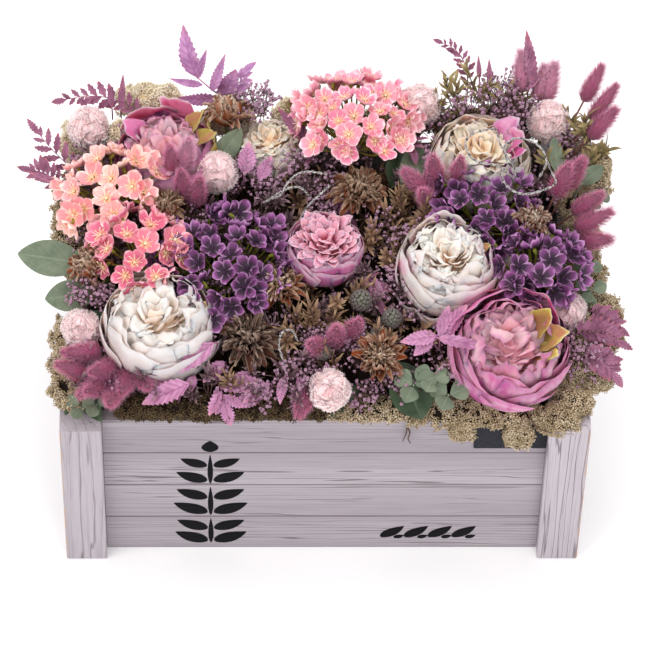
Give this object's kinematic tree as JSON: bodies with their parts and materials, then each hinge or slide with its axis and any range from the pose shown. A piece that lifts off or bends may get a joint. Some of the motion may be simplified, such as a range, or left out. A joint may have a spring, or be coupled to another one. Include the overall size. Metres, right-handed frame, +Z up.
{
  "type": "floral table centerpiece",
  "caption": "Low whitewashed wooden crate with a dense arrangement of peonies, small blossom clusters, grasses, ferns and moss held in foam, free-standing.",
  "frame": {"origin": "centre of the crate's underside, on the surface it stands on", "axes": "+X along the crate's long side to the right seen from the front, +Z up, front with the label facing -Y"},
  "size_m": [0.4546, 0.315, 0.3004],
  "materials": {
    "whitewashed_wood": "matte",
    "plywood": "matte",
    "liner": "satin",
    "foam": "matte",
    "label": "matte",
    "moss": "matte",
    "peony": "matte",
    "wax_flower": "satin",
    "violet_flower": "satin",
    "pompon": "matte",
    "seed_head": "matte",
    "hares_tail": "matte",
    "fern": "matte",
    "leaf": "matte",
    "dried_sprigs": "matte",
    "silver_twig": "satin"
  },
  "bodies": {
    "root": {"bottom_board": "plywood", "eucalyptus": "leaf", "fern_back_left": "fern", "fern_back_right": "fern", "fern_front": "fern", "fern_left": "fern", "fern_right": "fern", "fern_tall": "fern", "foam_brick_left": "foam", "foam_brick_right": "foam", "hares_tails_back_right": "hares_tail", "hares_tails_centre": "hares_tail", "hares_tails_front": "hares_tail", "hares_tails_front_left": "hares_tail", "hares_tails_left": "hares_tail", "hares_tails_right": "hares_tail", "label_plate": "label", "liner": "liner", "moss_back_left": "moss", "moss_bed": "moss", "moss_front_left": "moss", "moss_front_right": "moss", "moss_right": "moss", "panel_back": "whitewashed_wood", "panel_front": "whitewashed_wood", "panel_left": "whitewashed_wood", "panel_right": "whitewashed_wood", "peony_back_left": "peony", "peony_back_middle": "peony", "peony_back_right": "peony", "peony_centre": "peony", "peony_front_left": "peony", "peony_front_right": "peony", "peony_right_centre": "peony", "pompon_back": "pompon", "pompon_back_left": "pompon", "pompon_back_right": "pompon", "pompon_front": "pompon", "pompon_front_left": "pompon", "pompon_left": "pompon", "pompon_right": "pompon", "post_back_left": "whitewashed_wood", "post_back_right": "whitewashed_wood", "post_front_left": "whitewashed_wood", "post_front_right": "whitewashed_wood", "sage_leaf": "leaf", "seed_head_back_left": "seed_head", "seed_head_centre": "seed_head", "seed_head_far_left": "seed_head", "seed_head_front": "seed_head", "seed_head_front_left": "seed_head", "seed_head_left": "seed_head", "seed_head_middle": "seed_head", "seed_head_right": "seed_head", "violet_flowers_left": "violet_flower", "violet_flowers_right_lower": "violet_flower", "violet_flowers_right_upper": "violet_flower", "wax_flowers_left_lower": "wax_flower", "wax_flowers_left_upper": "wax_flower", "wax_flowers_top": "wax_flower"}
  },
  "joints": []
}
